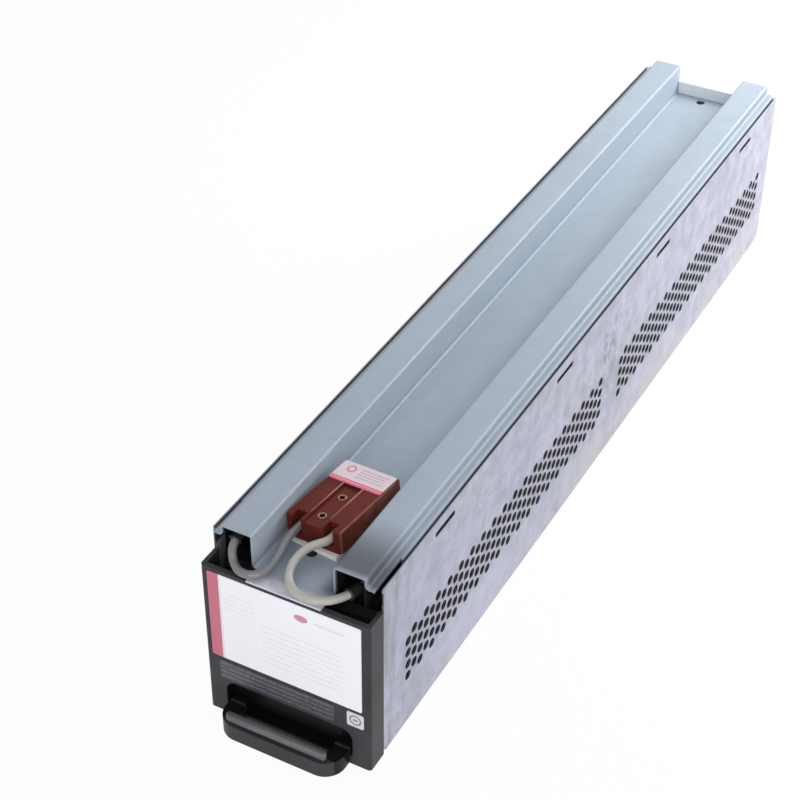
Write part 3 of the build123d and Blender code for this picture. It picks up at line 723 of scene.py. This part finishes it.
def connector_ribs():
    """Two rounded ribs along the top of the connector, beside its lower strip, in a paler maroon that paints
    a highlight on them.
    """
    start = 0.0078
    shape = Shape("connector_ribs", count=2, spacing=0.0127, rib_length=0.0285, rib_radius=0.00055)
    spacing = shape.size("spacing")
    line = shape.line(y=shape.size("rib_length"))
    rib = shape.sweep(line, shape.circle("rib_radius", resolution=10), caps=True)
    spots = shape.row(first=shape.vector(spacing * -0.5), offset=shape.vector(spacing))
    mesh = shape.bake(shape.repeat(spots, rib), rib_plastic.material)
    place = connector_place @ Matrix.Translation((0, start, connector_top))
    piece("connector_ribs", [placed(mesh, place)], rib_plastic.material)


def connector_eyelets():
    """Rolled metal eyelets in the two holes of the connector's lower strip."""
    start = 0.0090
    strip_depth = 0.0011
    shape = Shape("connector_eyelets", count=2, spacing=0.0175, eyelet_radius=0.00205, roll_radius=0.00055)
    rim = shape.circle("eyelet_radius", resolution=32)
    eyelet = shape.sweep(rim, shape.circle("roll_radius", resolution=10))
    spots = shape.row(first=shape.vector(), offset=shape.vector(y=shape.size("spacing")))
    mesh = shape.bake(shape.repeat(spots, eyelet), eyelet_metal.material)
    place = connector_place @ Matrix.Translation((0, start, connector_top - strip_depth))
    piece("connector_eyelets", [placed(mesh, place)], eyelet_metal.material)


def lead_sleeves():
    """Black rubber sleeves where the leads go into the rails, with a lip that swells at the mouth."""
    mouth_sharpness = 6.0
    copies = []
    for start, end in (
        ((-0.0356, face_y + 0.0121, 0.1167), (-0.0354, face_y + 0.0192, 0.1189)),
        ((0.0311, face_y + 0.0120, 0.1090), (0.0336, face_y + 0.0200, 0.1090)),
    ):
        run = Vector(end) - Vector(start)
        shape = Shape("lead_sleeve", sleeve_length=run.length, sleeve_radius=0.0031, lip=0.0007)
        line = shape.line(z=shape.size("sleeve_length"))
        fine = shape.node("GeometryNodeResampleCurve", inputs={"Curve": line, "Count": 13})
        share = shape.node("GeometryNodeSplineParameter", output="Factor")
        rise = shape.math("POWER", 1 - share, mouth_sharpness)
        swell = 1 + rise * (shape.size("lip") / shape.size("sleeve_radius"))
        tube = shape.sweep(fine, shape.circle("sleeve_radius", resolution=28), caps=True, swell=swell)
        mesh = shape.bake(tube, rubber.material)
        turn = run.to_track_quat("Z", "Y").to_matrix().to_4x4()
        copies.append(placed(mesh, Matrix.Translation(start) @ turn))
    piece("lead_sleeves", copies, rubber.material)


punched_rims()
connector_ribs()
connector_eyelets()
lead_sleeves()


def seen_rays(maker):
    """1 for the rays that show the surround, straight, in gloss or through clear material."""
    kinds = ("Is Camera Ray", "Is Glossy Ray", "Is Transmission Ray")
    straight, gloss, clear = [maker.node("ShaderNodeLightPath", output=kind) for kind in kinds]
    return maker.math("MAXIMUM", maker.math("MAXIMUM", straight, gloss), clear)


def linked(name, data):
    """New object of this data in the scene."""
    made = bpy.data.objects.new(name, data)
    bpy.context.scene.collection.objects.link(made)
    return made


def pale_floor():
    """Floor that looks white and still takes the module's shadow."""
    reach = 6.0
    white_share = 0.95
    mesh = bpy.data.meshes.new("floor")
    corners = [(-reach, -reach, 0), (reach, -reach, 0), (reach, reach, 0), (-reach, reach, 0)]
    mesh.from_pydata(corners, [], [(0, 1, 2, 3)])
    floor = linked("floor", mesh)
    pale = Finish("floor_pale", Roughness=0.9, Base_Color=(0.86, 0.86, 0.87, 1.0))
    glow = pale.node("ShaderNodeEmission", inputs={"Color": (1, 1, 1, 1), "Strength": 1.0})
    surface = Field(pale, pale.shader.outputs[0])
    blend = pale.node("ShaderNodeMixShader", inputs={0: seen_rays(pale) * white_share, 1: surface, 2: glow})
    output = next(n for n in pale.tree.nodes if n.type == "OUTPUT_MATERIAL")
    pale.join(blend, output.inputs["Surface"])
    mesh.materials.append(pale.material)


def white_surround():
    """Surround that looks white and lights the module less than it shows."""
    light_level = 0.6
    world = bpy.data.worlds.new("surround")
    world.use_nodes = True
    bpy.context.scene.world = world
    background = next(n for n in world.node_tree.nodes if n.type == "BACKGROUND")
    background.inputs["Color"].default_value = (0.97, 0.98, 1.0, 1.0)
    sky = Maker(world.node_tree)
    sky.join(light_level + (1 - light_level) * seen_rays(sky), background.inputs["Strength"])


def soft_lamp(name, place, aim, size, power):
    """Square lamp that faces its aim."""
    lamp = bpy.data.lights.new(name, "AREA")
    lamp.size = size
    lamp.energy = power
    holder = linked(name, lamp)
    holder.location = place
    holder.rotation_euler = (Vector(aim) - Vector(place)).to_track_quat("-Z", "Y").to_euler()


def photo_camera():
    """Camera fitted to the photograph: its place, and its turn, tilt down and roll in degrees."""
    place = (0.36853, -0.85250, 0.74176)
    turn = 28.1216
    tilt_down = 37.4354
    roll = 0.4142
    lens = bpy.data.cameras.new("camera")
    lens.lens = 82.393
    lens.sensor_width = 36.0
    lens.shift_x = -0.0041
    lens.clip_start = 0.05
    camera = linked("camera", lens)
    turned = Matrix.Rotation(math.radians(turn), 4, "Z")
    tilted = Matrix.Rotation(math.radians(90 - tilt_down), 4, "X")
    rolled = Matrix.Rotation(math.radians(roll), 4, "Z")
    camera.matrix_world = Matrix.Translation(place) @ turned @ tilted @ rolled
    bpy.context.scene.camera = camera


pale_floor()
white_surround()
soft_lamp("front", place=(0.45, -1.25, 0.58), aim=(0.0, -0.20, 0.06), size=1.0, power=6.0)
soft_lamp("rear", place=(0.34, 0.62, 0.46), aim=(0.0, 0.27, 0.10), size=0.60, power=5.8)
soft_lamp("channel", place=(0.08, 0.44, 0.42), aim=(0.0, 0.29, 0.10), size=0.4, power=0.8)
photo_camera()
bpy.context.scene.view_settings.view_transform = "Standard"
